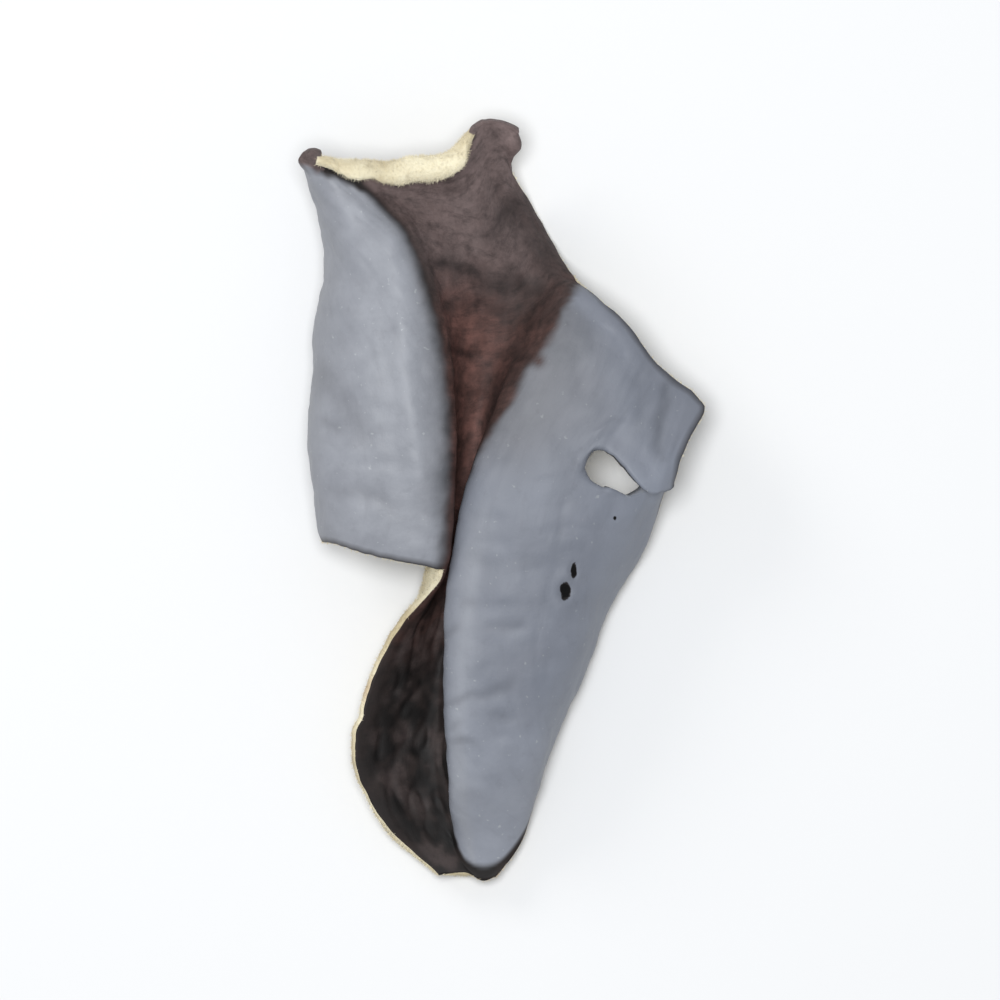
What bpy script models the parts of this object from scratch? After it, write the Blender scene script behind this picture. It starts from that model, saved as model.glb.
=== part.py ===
"""A dried wood ear mushroom: one ear-shaped fruit body, lying on its felted back with the dark face up.

The body is a single leathery sheet. Rails run up it from the base: the margins, the crests of the two
raised flaps, the foot of the slit between them, and the lines between those. The sheet is lofted across
the rails. The left lobe ends short of the base. The upper margin rolls forward over the face between a
small knob and a horn, and a tear opens beside the right margin. The sheet then gets its thickness.

Metres, +Z up, +Y from the base to the upper margin. The origin is on the ground under the middle.
"""

import bmesh
import bpy
import numpy as np
from mathutils import Vector, noise

MM = 0.001
SHEET_THICKNESS = 1.5 * MM
MARGIN_THICKNESS = 1.1 * MM
STUB_THICKNESS = 3.6 * MM
STUB_LENGTH = 9 * MM

# The knob at one corner and the bead on the horn: middle, in the frame of the rails, radius and thickness.
KNOBS = (
    ((-22.6 * MM, 84.3 * MM, 13.4 * MM), 2.6 * MM, 2.8 * MM),
    ((2.2 * MM, 85.9 * MM, 9.6 * MM), 2.2 * MM, 2.2 * MM))

# The sheet is a grid of columns across and rows up. The left lobe ends on one row, short of the base.
COLUMNS = 46
ROWS = 48
ROLL_ROWS = 7
LOBE_SHARE = 0.370
LOBE_COLUMN = round(LOBE_SHARE * COLUMNS)
LOBE_ROW = 21
LOBE_BLEND_ROWS = 5

# The upper margin rolls over the face: at shares of the width, its arc's length and its sweep in degrees.
ROLL = (
    (0, 1.1 * MM, 10), (0.06, 1.4 * MM, 5), (0.15, 2.1 * MM, 5), (0.20, 2.0 * MM, 60), (0.27, 3.8 * MM, 175),
    (0.36, 4.4 * MM, 205), (0.44, 3.9 * MM, 200), (0.56, 3.9 * MM, 200), (0.62, 4.0 * MM, 180),
    (0.69, 2.8 * MM, 70), (0.80, 1.2 * MM, 5), (1, 0.6 * MM, 0))

# The tear follows one row out to the right margin. At shares of the width, how far its two sides part,
# how far the upper one rises and the lower one sinks, and how far both sag towards the base.
TEAR_ROW = 26
TEAR_REACH_ROWS = 5
TEAR = (
    (0.804, 0, 0, 0), (0.813, 0.1 * MM, 0, -0.1 * MM), (0.826, 1.7 * MM, 0.2 * MM, -0.5 * MM),
    (0.848, 2.05 * MM, 0.3 * MM, -0.1 * MM), (0.88, 1.75 * MM, 0.9 * MM, 1.0 * MM),
    (0.92, 0.15 * MM, 1.3 * MM, 2.1 * MM), (0.95, -0.8 * MM, 1.4 * MM, 1.5 * MM),
    (1, -0.9 * MM, 1.3 * MM, 0))

# How far, and over what span, the sheet strays as it dries.
UNEVEN_REACH = 0.8 * MM
UNEVEN_SPAN = 12 * MM
UNEVEN_SEED = 4

# The point on the ground under the middle of the body, in the frame that the rails are given in.
GROUND_POINT = (-0.285 * MM, 44.03 * MM, 0.22 * MM)

FACE_COLOUR = (0.030, 0.018, 0.015, 1)
FACE_ROUGHNESS = 0.45
FELT_COLOUR = (0.60, 0.53, 0.37, 1)
FELT_ROUGHNESS = 0.95

# A rail is its share of the sheet's width, then its points from the base up.
# A point is its distance from the base, its place across and its height, in millimetres.
LEFT_MARGIN = (0.000, (
    (41.5, -17.2, 1.8), (48, -18.4, 0.9), (58, -18.4, 0.9), (68, -17.6, 0.9), (75, -18.0, 2.0),
    (80, -19.0, 4.6), (82.8, -20.2, 7.8)))
LEFT_TURN = (0.085, (
    (39.5, -20.5, 6.2), (44, -21.1, 6.6), (51, -21.8, 6.8), (56, -21.7, 6.8), (64, -21.1, 6.8),
    (71, -19.9, 6.8), (78, -20.6, 8.0), (81, -21.4, 9.2), (82.9, -22.1, 10.6)))
LEFT_SHOULDER = (0.175, (
    (38.4, -18.6, 11.8), (44, -19.8, 12.9), (50, -20.2, 13.6), (64, -19.2, 13.6), (72, -18.3, 13.2),
    (78, -19.5, 13.2), (81, -20.7, 13.3), (83.2, -21.5, 13.7)))
LEFT_CREST = (0.275, (
    (37.0, -13.4, 13.8), (42, -13.6, 15.2), (50, -13.4, 16.2), (60, -13.4, 16.4), (68, -13.6, 16.0),
    (74, -14.6, 15.2), (78, -16.8, 14.4), (81, -18.6, 14.0), (82.4, -19.5, 14.1)))
LEFT_FOLD = (0.370, (
    (0, -7.6, 2.7), (2, -10.0, 3.0), (5, -13.4, 4.0), (9, -16.2, 5.4), (14, -17.6, 6.6), (20, -17.0, 7.2),
    (26, -14.6, 7.0), (30, -11.8, 7.8), (33, -9.0, 10.2), (35.5, -7.2, 13.0), (40, -6.7, 14.0),
    (50, -6.2, 14.8), (58, -6.9, 14.8), (64, -7.7, 14.6), (70, -9.4, 14.2), (75, -11.6, 13.7),
    (79, -14.8, 13.4), (82.3, -16.9, 13.9)))
LEFT_WALL = (0.435, (
    (0, -6.6, 2.7), (5, -10.4, 2.8), (14, -13.6, 4.2), (22, -12.6, 4.6), (29, -10.4, 5.2), (35, -8.2, 8.6),
    (42, -7.2, 9.2), (50, -6.4, 9.8), (58, -6.8, 10.4), (64, -7.0, 10.9), (70, -8.4, 11.4),
    (75, -10.3, 11.4), (79, -13.0, 11.8), (82.6, -14.8, 13.7)))
SLIT_LEFT = (0.495, (
    (0, -5.4, 2.7), (5, -8.2, 2.3), (10, -10.0, 2.0), (20, -9.8, 2.4), (28, -8.8, 3.0), (34, -7.7, 3.8),
    (42, -6.5, 4.0), (50, -5.6, 4.8), (58, -5.2, 6.2), (64, -5.0, 7.8), (70, -5.8, 9.2), (75, -8.0, 9.8),
    (79, -10.4, 10.6), (82.7, -12.2, 13.4)))
SLIT_RIGHT = (0.540, (
    (0, -4.6, 2.7), (5, -6.6, 2.1), (10, -7.8, 1.6), (20, -7.5, 1.8), (28, -6.3, 2.4), (34, -4.9, 3.0),
    (42, -3.7, 3.4), (50, -2.7, 4.2), (58, -2.0, 5.2), (64, -2.2, 6.6), (70, -3.6, 7.8), (75, -5.6, 8.7),
    (79, -7.8, 9.8), (83.1, -9.8, 13.3)))
RIGHT_WALL = (0.600, (
    (0, -3.7, 2.7), (5, -5.4, 2.8), (12, -5.8, 4.6), (20, -5.5, 5.8), (30, -4.7, 6.8), (36, -4.0, 7.4),
    (42, -2.9, 7.8), (48, -1.4, 8.2), (54, -0.2, 8.4), (60, 1.4, 8.0), (64, 2.0, 7.2), (68, 0.8, 6.9),
    (75, -2.6, 7.5), (79, -5.0, 8.8), (83.2, -7.2, 13.2)))
RIGHT_FOLD = (0.660, (
    (0, -3.0, 2.7), (5, -4.9, 4.0), (9, -5.9, 6.6), (14, -6.0, 9.0), (20, -6.0, 10.6), (30, -5.7, 11.8),
    (36, -5.5, 12.4), (42, -4.4, 12.8), (48, -2.4, 13.0), (54, 0.1, 13.0), (60, 3.2, 12.8), (64, 5.2, 11.6),
    (67, 4.6, 7.8), (70, 2.2, 6.2), (75, -0.4, 6.4), (80, -3.2, 8.6), (84.4, -4.9, 12.4)))
RIGHT_CREST = (0.775, (
    (0, -2.3, 2.7), (5, -2.4, 4.8), (9, -2.2, 7.8), (14, -1.4, 10.6), (24, 0.6, 13.2), (34, 2.6, 14.3),
    (44, 5.0, 14.6), (52, 7.8, 14.6), (58, 9.6, 14.2), (62, 10.0, 13.6), (66, 8.2, 11.8), (70, 5.2, 5.8),
    (75, 1.8, 4.6), (81, -1.6, 7.6), (86.8, -2.9, 11.6)))
RIGHT_WING = (0.905, (
    (0, -1.6, 2.7), (4, 0.3, 3.6), (8, 1.9, 5.4), (16, 4.6, 8.8), (26, 8.3, 9.6), (34, 11.2, 9.8),
    (40, 13.4, 11.4), (47, 15.4, 12.8), (54, 18.0, 12.8), (60, 15.4, 13.0), (64, 12.8, 13.0),
    (67, 10.4, 11.8), (70.4, 7.2, 5.8), (73, 5.2, 3.3), (76, 3.4, 2.2), (82, 0.4, 6.6), (87.6, -0.2, 10.6)))
RIGHT_MARGIN = (1.000, (
    (0, -1.0, 2.7), (2, 0.0, 2.9), (5, 1.6, 3.1), (9.5, 3.3, 3.2), (15.5, 5.6, 2.6), (24, 8.7, 1.4),
    (30, 11.3, 0.9), (36, 14.6, 1.4), (41, 17.2, 5.0), (45, 19.4, 9.4), (49.6, 21.2, 11.4),
    (52.7, 22.9, 11.2), (54.7, 23.7, 10.8), (56.4, 22.5, 11.4), (58, 20.0, 12.0), (60.2, 17.5, 12.2),
    (64, 14.8, 12.4), (66.6, 12.2, 11.8), (69.4, 9.4, 8.4), (72.8, 6.7, 2.3), (76, 4.6, 0.5),
    (79, 2.9, 2.2), (81.6, 1.9, 5.0), (83.3, 1.5, 7.0), (84.3, 1.8, 8.0), (85.1, 2.8, 8.8),
    (86.1, 3.2, 9.3)))
LOBE_RAILS = (LEFT_MARGIN, LEFT_TURN, LEFT_SHOULDER, LEFT_CREST)
BODY_RAILS = (LEFT_FOLD, LEFT_WALL, SLIT_LEFT, SLIT_RIGHT, RIGHT_WALL,
              RIGHT_FOLD, RIGHT_CREST, RIGHT_WING, RIGHT_MARGIN)


def clear_scene():
    for obj in list(bpy.data.objects):
        bpy.data.objects.remove(obj, do_unlink=True)


def through(places, values, at):
    """A smooth curve through the values, which never swings past them between two places."""
    places, values = np.asarray(places, float), np.asarray(values, float)
    spans = np.diff(places)
    slopes = np.diff(values) / spans
    product = slopes[:-1] * slopes[1:]
    total = np.where(product > 0, slopes[:-1] + slopes[1:], 1)
    tangents = np.concatenate([slopes[:1], np.where(product > 0, 2 * product / total, 0), slopes[-1:]])
    i = np.clip(np.searchsorted(places, at, side="right") - 1, 0, len(spans) - 1)
    u = (at - places[i]) / spans[i]
    return (
        (1 + 2 * u) * (1 - u) ** 2 * values[i]
        + u * (1 - u) ** 2 * spans[i] * tangents[i]
        + u * u * (3 - 2 * u) * values[i + 1]
        + u * u * (u - 1) * spans[i] * tangents[i + 1]
    )


def bent_across(rails, points, at):
    """The points on the curve that a springy strip takes through one point of each rail."""
    shares = np.array([share for share, _ in rails])
    spans = np.diff(shares)
    count = len(shares)
    system = np.eye(count)
    right = np.zeros((count, 3))
    for k in range(1, count - 1):
        system[k, k - 1:k + 2] = spans[k - 1], 2 * (spans[k - 1] + spans[k]), spans[k]
        right[k] = 6 * ((points[k + 1] - points[k]) / spans[k] - (points[k] - points[k - 1]) / spans[k - 1])
    bends = np.linalg.solve(system, right)
    i = np.clip(np.searchsorted(shares, at, side="right") - 1, 0, count - 2)
    h = spans[i][:, None]
    a = (shares[i + 1] - at)[:, None] / h
    b = 1 - a
    return (
        a * points[i] + b * points[i + 1]
        + ((a ** 3 - a) * bends[i] + (b ** 3 - b) * bends[i + 1]) * h * h / 6
    )


def rail_point(rail, reach):
    """The point at a share of a rail's length."""
    up, side, height = np.array(rail[1], float).T
    place = up[0] + reach * (up[-1] - up[0])
    return np.array((through(up, side, place), place, through(up, height, place))) * MM


def sheet_row(row, across):
    """One row of the sheet, as points at shares of its width."""
    along = row / ROWS
    lobe_along = max(0, (row - LOBE_ROW) / (ROWS - LOBE_ROW))
    body_points = [rail_point(rail, along) for rail in BODY_RAILS]
    lobe_points = [rail_point(rail, lobe_along) for rail in LOBE_RAILS]
    whole = bent_across(LOBE_RAILS + BODY_RAILS, np.array(lobe_points + body_points), across)
    below = np.clip((LOBE_ROW - row) / LOBE_BLEND_ROWS, 0, 1)
    if below == 0:
        return whole
    return (1 - below) * whole + below * bent_across(BODY_RAILS, np.array(body_points), across)


def rolled(edge, before, across, turn):
    """One row of the upper margin past the sheet's last row, at a share of the roll's turn."""
    shares, arcs, sweeps = zip(*ROLL)
    length = turn * through(shares, arcs, across)[:, None]
    swept = turn * np.radians(through(shares, sweeps, across))[:, None]
    forward = edge - before
    forward /= np.linalg.norm(forward, axis=1)[:, None]
    normal = np.cross(np.gradient(edge, axis=0), forward)
    normal /= np.linalg.norm(normal, axis=1)[:, None]
    return edge + length * (
        np.sinc(swept / np.pi) * forward + np.sin(swept / 2) * np.sinc(swept / 2 / np.pi) * normal)


def sheet_points():
    """Every point of the sheet, as rows from the base up, each from the left to the right."""
    across = np.linspace(0, 1, COLUMNS + 1)
    rows = [sheet_row(row, across) for row in range(ROWS + 1)]
    edge, before = rows[-1], rows[-2]
    rows += [rolled(edge, before, across, turn / ROLL_ROWS) for turn in range(1, ROLL_ROWS + 1)]
    return np.array(rows)


def torn(column, rows_above):
    """How far a point moves as the tear opens. The upper side laps over the lower one at the margin."""
    across = column / COLUMNS
    shares, gapes, lifts, sags = zip(*TEAR)
    if across <= shares[0]:
        return Vector((0, 0, 0))
    gape = through(shares, gapes, across)
    lift = through(shares, lifts, across)
    sag = through(shares, sags, across)
    side = 1 if rows_above > 0 else -1
    near = max(0, 1 - abs(rows_above) / TEAR_REACH_ROWS)
    return Vector((0, side * gape - sag, side * lift)) * near * near * (3 - 2 * near)


def uneven(place):
    """How far a point strays as the sheet dries and shrinks."""
    return UNEVEN_REACH * noise.noise_vector(place / UNEVEN_SPAN)


def build_sheet():
    """The open sheet, with the gap below its left lobe and the tear cut in it."""
    rows = ROWS + ROLL_ROWS
    bm = bmesh.new()
    bmesh.ops.create_grid(bm, x_segments=COLUMNS, y_segments=rows, size=0.5)
    bmesh.ops.scale(bm, vec=(COLUMNS, rows, 1), verts=bm.verts)
    bmesh.ops.translate(bm, vec=(COLUMNS / 2, rows / 2, 0), verts=bm.verts)

    middles = {face: face.calc_center_median() for face in bm.faces}
    gap = [face for face, middle in middles.items() if middle.x < LOBE_COLUMN and middle.y < LOBE_ROW]
    bmesh.ops.delete(bm, geom=gap, context="FACES")
    tear_column = round(TEAR[0][0] * COLUMNS)
    tear = [edge for edge in bm.edges
            if all(round(vert.co.y) == TEAR_ROW and round(vert.co.x) >= tear_column for vert in edge.verts)]
    bmesh.ops.split_edges(bm, edges=tear)

    points = sheet_points()
    places = []
    for vert in bm.verts:
        column, row = round(vert.co.x), round(vert.co.y)
        sides = [face.calc_center_median().y for face in vert.link_faces]
        rows_above = row - TEAR_ROW or sum(sides) / len(sides) - TEAR_ROW
        place = Vector(points[row, column]) + torn(column, rows_above)
        places.append(place + uneven(place) - Vector(GROUND_POINT))
    for vert, place in zip(bm.verts, places):
        vert.co = place
    return bm


def flesh_thickness(vert):
    """The sheet thins at its margins, and thickens into the stub at the base, the knob and the bead."""
    place = vert.co + Vector(GROUND_POINT)
    stub = max(0, 1 - place.y / STUB_LENGTH)
    sheet = MARGIN_THICKNESS if vert.is_boundary else SHEET_THICKNESS
    for middle, radius, thickness in KNOBS:
        near = max(0, 1 - (place - Vector(middle)).length / radius)
        sheet += (thickness - sheet) * near * near * (3 - 2 * near)
    return sheet + (STUB_THICKNESS - sheet) * stub * stub


def make_material(name, colour, roughness):
    material = bpy.data.materials.new(name)
    material.use_nodes = True
    shader = material.node_tree.nodes["Principled BSDF"]
    shader.inputs["Base Color"].default_value = colour
    shader.inputs["Roughness"].default_value = roughness
    shader.inputs["Metallic"].default_value = 0
    return material


def make_ear():
    """The whole body: the sheet with its flesh, dark on the face, and felted on the back and the margins."""
    bm = build_sheet()
    thicknesses = [flesh_thickness(vert) for vert in bm.verts]
    mesh = bpy.data.meshes.new("wood_ear")
    bm.to_mesh(mesh)
    bm.free()
    mesh.shade_smooth()
    mesh.materials.append(make_material("smooth_face", FACE_COLOUR, FACE_ROUGHNESS))
    mesh.materials.append(make_material("felted_back", FELT_COLOUR, FELT_ROUGHNESS))

    ear = bpy.data.objects.new("wood_ear", mesh)
    flesh = ear.vertex_groups.new(name="flesh")
    for index, thickness in enumerate(thicknesses):
        flesh.add([index], thickness / STUB_THICKNESS, "REPLACE")
    solidify = ear.modifiers.new("flesh", "SOLIDIFY")
    solidify.thickness = STUB_THICKNESS
    solidify.offset = 0
    solidify.vertex_group = flesh.name
    solidify.material_offset = 1
    solidify.material_offset_rim = 1
    return ear


def main():
    noise.seed_set(UNEVEN_SEED)
    clear_scene()
    collection = bpy.data.collections.new("wood_ear_mushroom")
    bpy.context.scene.collection.children.link(collection)
    collection.objects.link(make_ear())


main()
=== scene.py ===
"""A dried wood ear mushroom, lying on its felted back with its smooth dark face up.

Metres, +Z up, +Y from the attached base to the rolled upper margin, +X to the torn wing.
"""

import bmesh
import bpy
import numpy as np
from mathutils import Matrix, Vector, kdtree, noise


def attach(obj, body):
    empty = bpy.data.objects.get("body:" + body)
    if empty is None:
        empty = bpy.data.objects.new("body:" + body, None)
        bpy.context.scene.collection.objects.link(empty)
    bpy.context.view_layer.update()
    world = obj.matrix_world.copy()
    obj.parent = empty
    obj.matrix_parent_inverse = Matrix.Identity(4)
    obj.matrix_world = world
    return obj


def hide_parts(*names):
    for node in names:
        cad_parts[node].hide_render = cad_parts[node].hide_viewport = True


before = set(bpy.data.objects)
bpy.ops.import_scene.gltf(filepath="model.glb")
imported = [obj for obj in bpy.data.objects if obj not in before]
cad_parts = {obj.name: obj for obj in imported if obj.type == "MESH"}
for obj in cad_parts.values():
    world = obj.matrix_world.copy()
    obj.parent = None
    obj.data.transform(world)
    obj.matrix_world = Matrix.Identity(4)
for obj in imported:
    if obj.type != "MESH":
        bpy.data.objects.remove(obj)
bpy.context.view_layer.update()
# The ear. One leathery sheet of dried flesh, dark and smooth on its face and felted on its back.
# It grew from the base, folded as it dried, rolled over at its upper margin, and tore beside the wing.
# It is one grid of columns and rows, which is bent along rails and then given its thickness.
MM = 0.001
SHEET_THICKNESS = 1.5 * MM
MARGIN_THICKNESS = 0.8 * MM
MARGIN_TAPER = 2.2 * MM
KNOB_TAPER = 0.7 * MM
STUB_THICKNESS = 3.6 * MM
STUB_LENGTH = 9 * MM
COLUMNS = 184
ROWS = 240
ROLL_ROWS = 14
ROLL_LEAD_ROWS = 5
LOBE_SHARE = 17 / 46
LOBE_ROW = 105
LOBE_BLEND_ROWS = 25
TEAR_ROW = 130
TEAR_COLUMN = 150
TEAR_REACH_ROWS = 25
UNEVEN_REACH = 0.8 * MM
UNEVEN_SPAN = 12 * MM
UNEVEN_SEED = 4
GROUND_POINT = (-0.285 * MM, 44.03 * MM, 0.22 * MM)

# The knob at the left corner and the bead on the horn: middle, radius and thickness.
KNOBS = (
    ((-22.6 * MM, 84.5 * MM, 13.4 * MM), 2.4 * MM, 2.9 * MM),
    ((2.2 * MM, 85.9 * MM, 9.6 * MM), 1.9 * MM, 2.3 * MM))

# The upper margin rolls over the face: at shares of the width, its arc's length and its sweep in degrees.
ROLL = (
    (0, 1.1 * MM, 10), (0.06, 1.4 * MM, 5), (0.15, 2.1 * MM, 5), (0.20, 2.0 * MM, 60), (0.27, 3.8 * MM, 175),
    (0.36, 4.4 * MM, 205), (0.44, 3.9 * MM, 200), (0.56, 3.9 * MM, 200), (0.62, 4.0 * MM, 180),
    (0.69, 2.8 * MM, 70), (0.80, 1.2 * MM, 5), (1, 0.6 * MM, 0))

# At shares of the width, how far the tear's two sides part, rise and sag.
TEAR = (
    (0.812, 0.1 * MM, 0, -0.1 * MM), (0.826, 1.7 * MM, 0.2 * MM, -0.5 * MM),
    (0.848, 2.05 * MM, 0.3 * MM, -0.1 * MM), (0.88, 1.75 * MM, 0.9 * MM, 1.0 * MM),
    (0.92, 0.15 * MM, 1.3 * MM, 2.1 * MM), (0.95, -0.8 * MM, 1.4 * MM, 1.5 * MM),
    (1, -0.9 * MM, 1.3 * MM, 0))

# A rail is its share of the sheet's width, then its points from the base up.
# A point is its distance from the base, its place across and its height, in millimetres.
LEFT_MARGIN = (0.000, (
    (41.5, -17.2, 1.8), (48, -18.4, 0.9), (58, -18.4, 0.9), (68, -17.6, 0.9), (75, -18.0, 2.0),
    (80, -19.0, 4.6), (82.8, -20.2, 7.8)))
LEFT_TURN = (0.085, (
    (39.5, -20.5, 6.2), (44, -21.1, 6.6), (51, -21.8, 6.8), (56, -21.7, 6.8), (64, -21.1, 6.8),
    (71, -19.9, 6.8), (78, -20.6, 8.0), (81, -21.4, 9.2), (82.9, -22.1, 10.6)))
LEFT_SHOULDER = (0.175, (
    (38.4, -18.6, 11.8), (44, -19.8, 12.9), (50, -20.2, 13.6), (64, -19.2, 13.6), (72, -18.3, 13.2),
    (78, -19.5, 13.2), (81, -20.7, 13.3), (83.2, -21.5, 13.7)))
LEFT_CREST = (0.275, (
    (37.0, -13.4, 13.8), (42, -13.6, 15.2), (50, -13.4, 16.2), (60, -13.4, 16.4), (68, -13.6, 16.0),
    (74, -14.6, 15.2), (78, -16.8, 14.4), (81, -18.6, 14.0), (82.4, -19.5, 14.1)))
LEFT_FOLD = (0.370, (
    (0, -7.6, 2.7), (2, -10.0, 3.0), (5, -13.4, 4.0), (9, -16.2, 5.4), (14, -17.6, 6.6), (20, -17.0, 7.2),
    (26, -14.6, 7.0), (30, -11.8, 7.8), (33, -9.0, 10.2), (35.5, -7.2, 13.0), (40, -6.7, 14.0),
    (50, -6.2, 14.8), (58, -6.9, 14.8), (64, -7.7, 14.6), (70, -9.4, 14.2), (75, -11.6, 13.7),
    (79, -14.8, 13.4), (82.3, -16.9, 13.9)))
LEFT_WALL = (0.435, (
    (0, -6.6, 2.7), (5, -10.4, 2.8), (14, -13.6, 4.2), (22, -12.6, 4.6), (29, -10.4, 5.2), (35, -8.2, 8.6),
    (42, -7.2, 9.2), (50, -6.4, 9.8), (58, -6.8, 10.4), (64, -7.0, 10.9), (70, -8.4, 11.4),
    (75, -10.3, 11.4), (79, -13.0, 11.8), (82.6, -14.8, 13.7)))
SLIT_LEFT = (0.495, (
    (0, -5.4, 2.7), (5, -8.2, 2.3), (10, -10.0, 2.0), (20, -9.8, 2.4), (28, -8.8, 3.0), (34, -7.7, 3.8),
    (42, -6.5, 4.0), (50, -5.6, 4.8), (58, -5.2, 6.2), (64, -5.0, 7.8), (70, -5.8, 9.2), (75, -8.0, 9.8),
    (79, -10.4, 10.6), (82.7, -12.2, 13.4)))
SLIT_RIGHT = (0.540, (
    (0, -4.6, 2.7), (5, -6.6, 2.1), (10, -7.8, 1.6), (20, -7.5, 1.8), (28, -6.3, 2.4), (34, -4.9, 3.0),
    (42, -3.7, 3.4), (50, -2.7, 4.2), (58, -2.0, 5.2), (64, -2.2, 6.6), (70, -3.6, 7.8), (75, -5.6, 8.7),
    (79, -7.8, 9.8), (83.1, -9.8, 13.3)))
RIGHT_WALL = (0.600, (
    (0, -3.7, 2.7), (5, -5.4, 2.8), (12, -5.8, 4.6), (20, -5.5, 5.8), (30, -4.7, 6.8), (36, -4.0, 7.4),
    (42, -2.9, 7.8), (48, -1.4, 8.2), (54, -0.2, 8.4), (60, 1.4, 8.0), (64, 2.0, 7.2), (68, 0.8, 6.9),
    (75, -2.6, 7.5), (79, -5.0, 8.8), (83.2, -7.2, 13.2)))
RIGHT_FOLD = (0.660, (
    (0, -3.0, 2.7), (5, -4.9, 4.0), (9, -5.9, 6.6), (14, -6.0, 9.0), (20, -6.0, 10.6), (30, -5.7, 11.8),
    (36, -5.5, 12.4), (42, -4.4, 12.8), (48, -2.4, 13.0), (54, 0.1, 13.0), (60, 3.2, 12.8), (64, 5.2, 11.6),
    (67, 4.6, 7.8), (70, 2.2, 6.2), (75, -0.4, 6.4), (80, -3.2, 8.6), (84.4, -4.9, 12.4)))
RIGHT_CREST = (0.775, (
    (0, -2.3, 2.7), (5, -2.4, 4.8), (9, -2.2, 7.8), (14, -1.4, 10.6), (24, 0.6, 13.2), (34, 2.6, 14.3),
    (44, 5.0, 14.6), (52, 7.8, 14.6), (58, 9.6, 14.2), (62, 10.0, 13.6), (66, 8.2, 11.8), (70, 5.2, 5.8),
    (75, 1.8, 4.6), (81, -1.6, 7.6), (86.8, -2.9, 11.6)))
RIGHT_WING = (0.905, (
    (0, -1.6, 2.7), (4, 0.3, 3.6), (8, 1.9, 5.4), (16, 4.6, 8.8), (26, 8.3, 9.6), (34, 11.2, 9.8),
    (40, 13.4, 11.4), (47, 15.4, 12.8), (54, 18.0, 12.8), (60, 15.4, 13.0), (64, 12.8, 13.0),
    (67, 10.4, 11.8), (70.4, 7.2, 5.8), (73, 5.2, 3.3), (76, 3.4, 2.2), (82, 0.4, 6.6), (87.6, -0.2, 10.6)))
RIGHT_MARGIN = (1.000, (
    (0, -1.0, 2.7), (2, 0.0, 2.9), (5, 1.6, 3.1), (9.5, 3.3, 3.2), (15.5, 5.6, 2.6), (24, 8.7, 1.4),
    (30, 11.3, 0.9), (36, 14.6, 1.4), (41, 17.2, 5.0), (45, 19.4, 9.4), (49.6, 21.2, 11.4),
    (52.7, 22.9, 11.2), (54.7, 23.7, 10.8), (56.4, 22.5, 11.4), (58, 20.0, 12.0), (60.2, 17.5, 12.2),
    (64, 14.8, 12.4), (66.6, 12.2, 11.8), (69.4, 9.4, 8.4), (72.8, 6.7, 2.3), (76, 4.6, 0.5),
    (79, 2.9, 2.2), (81.6, 1.9, 5.0), (83.3, 1.5, 7.0), (84.3, 1.8, 8.0), (85.1, 2.8, 8.8),
    (86.1, 3.2, 9.3)))
LOBE_RAILS = (LEFT_MARGIN, LEFT_TURN, LEFT_SHOULDER, LEFT_CREST)
BODY_RAILS = (LEFT_FOLD, LEFT_WALL, SLIT_LEFT, SLIT_RIGHT, RIGHT_WALL,
              RIGHT_FOLD, RIGHT_CREST, RIGHT_WING, RIGHT_MARGIN)


def through(places, values, at):
    """A smooth curve through the values, which never swings past them between two places."""
    places, values = np.asarray(places, float), np.asarray(values, float)
    spans = np.diff(places)
    slopes = np.diff(values) / spans
    product = slopes[:-1] * slopes[1:]
    total = np.where(product > 0, slopes[:-1] + slopes[1:], 1)
    tangents = np.concatenate([slopes[:1], np.where(product > 0, 2 * product / total, 0), slopes[-1:]])
    i = np.clip(np.searchsorted(places, at, side="right") - 1, 0, len(spans) - 1)
    u = (at - places[i]) / spans[i]
    return (
        (1 + 2 * u) * (1 - u) ** 2 * values[i]
        + u * (1 - u) ** 2 * spans[i] * tangents[i]
        + u * u * (3 - 2 * u) * values[i + 1]
        + u * u * (u - 1) * spans[i] * tangents[i + 1]
    )


def bent_across(rails, points, at):
    """The points on the curve that a springy strip takes through one point of each rail."""
    shares = np.array([share for share, _ in rails])
    spans = np.diff(shares)
    count = len(shares)
    system = np.eye(count)
    right = np.zeros((count, 3))
    for k in range(1, count - 1):
        system[k, k - 1:k + 2] = spans[k - 1], 2 * (spans[k - 1] + spans[k]), spans[k]
        right[k] = (points[k + 1] - points[k]) / spans[k] - (points[k] - points[k - 1]) / spans[k - 1]
        right[k] *= 6
    bends = np.linalg.solve(system, right)
    i = np.clip(np.searchsorted(shares, at, side="right") - 1, 0, count - 2)
    h = spans[i][:, None]
    a = (shares[i + 1] - at)[:, None] / h
    b = 1 - a
    return (
        a * points[i] + b * points[i + 1]
        + ((a ** 3 - a) * bends[i] + (b ** 3 - b) * bends[i + 1]) * h * h / 6
    )


def rail_point(rail, reach):
    """The point at a share of a rail's length."""
    up, side, height = np.array(rail[1], float).T
    place = up[0] + reach * (up[-1] - up[0])
    return np.array((through(up, side, place), place, through(up, height, place))) * MM


# How the margins have frayed, by a broad noise, a fine one and one for nicks, each with its span and layer.
# Each margin has its own seed, and the bands are shares of the width.
FRAY_LAYERS = ((5.5, 0.3), (1.7, 7.1), (2.6, 3.7))
NICK_START = 0.35
RIGHT_SEED = 11
LOBE_SIDE_SEED = 23
PANEL_SEED = 31
LIP_SEED = 5
LOBE_END_SEED = 41
MARGIN_LENGTH = 86
SIDE_BAND = 0.07
PANEL_BAND = 0.06
PANEL_FRAY_ROWS = 15
SIDE_FRAY = 0.011
HORN_ROWS = 5
HORN_ROUNDING = 0.028
LIP_LENGTH = 60
LIP_FRAY = 0.16
LOBE_END_LENGTH = 75
LOBE_END_ROWS = 8
LOBE_END_BAND = 0.03
LOBE_FRAY_ROWS = 2.6
TEAR_SIDE_ROWS = 8
TEAR_JAG_ROWS = 0.8
TEAR_JAG_COLUMNS = 6
TEAR_BROAD_JAGS = 42
TEAR_FINE_JAGS = 110


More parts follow.
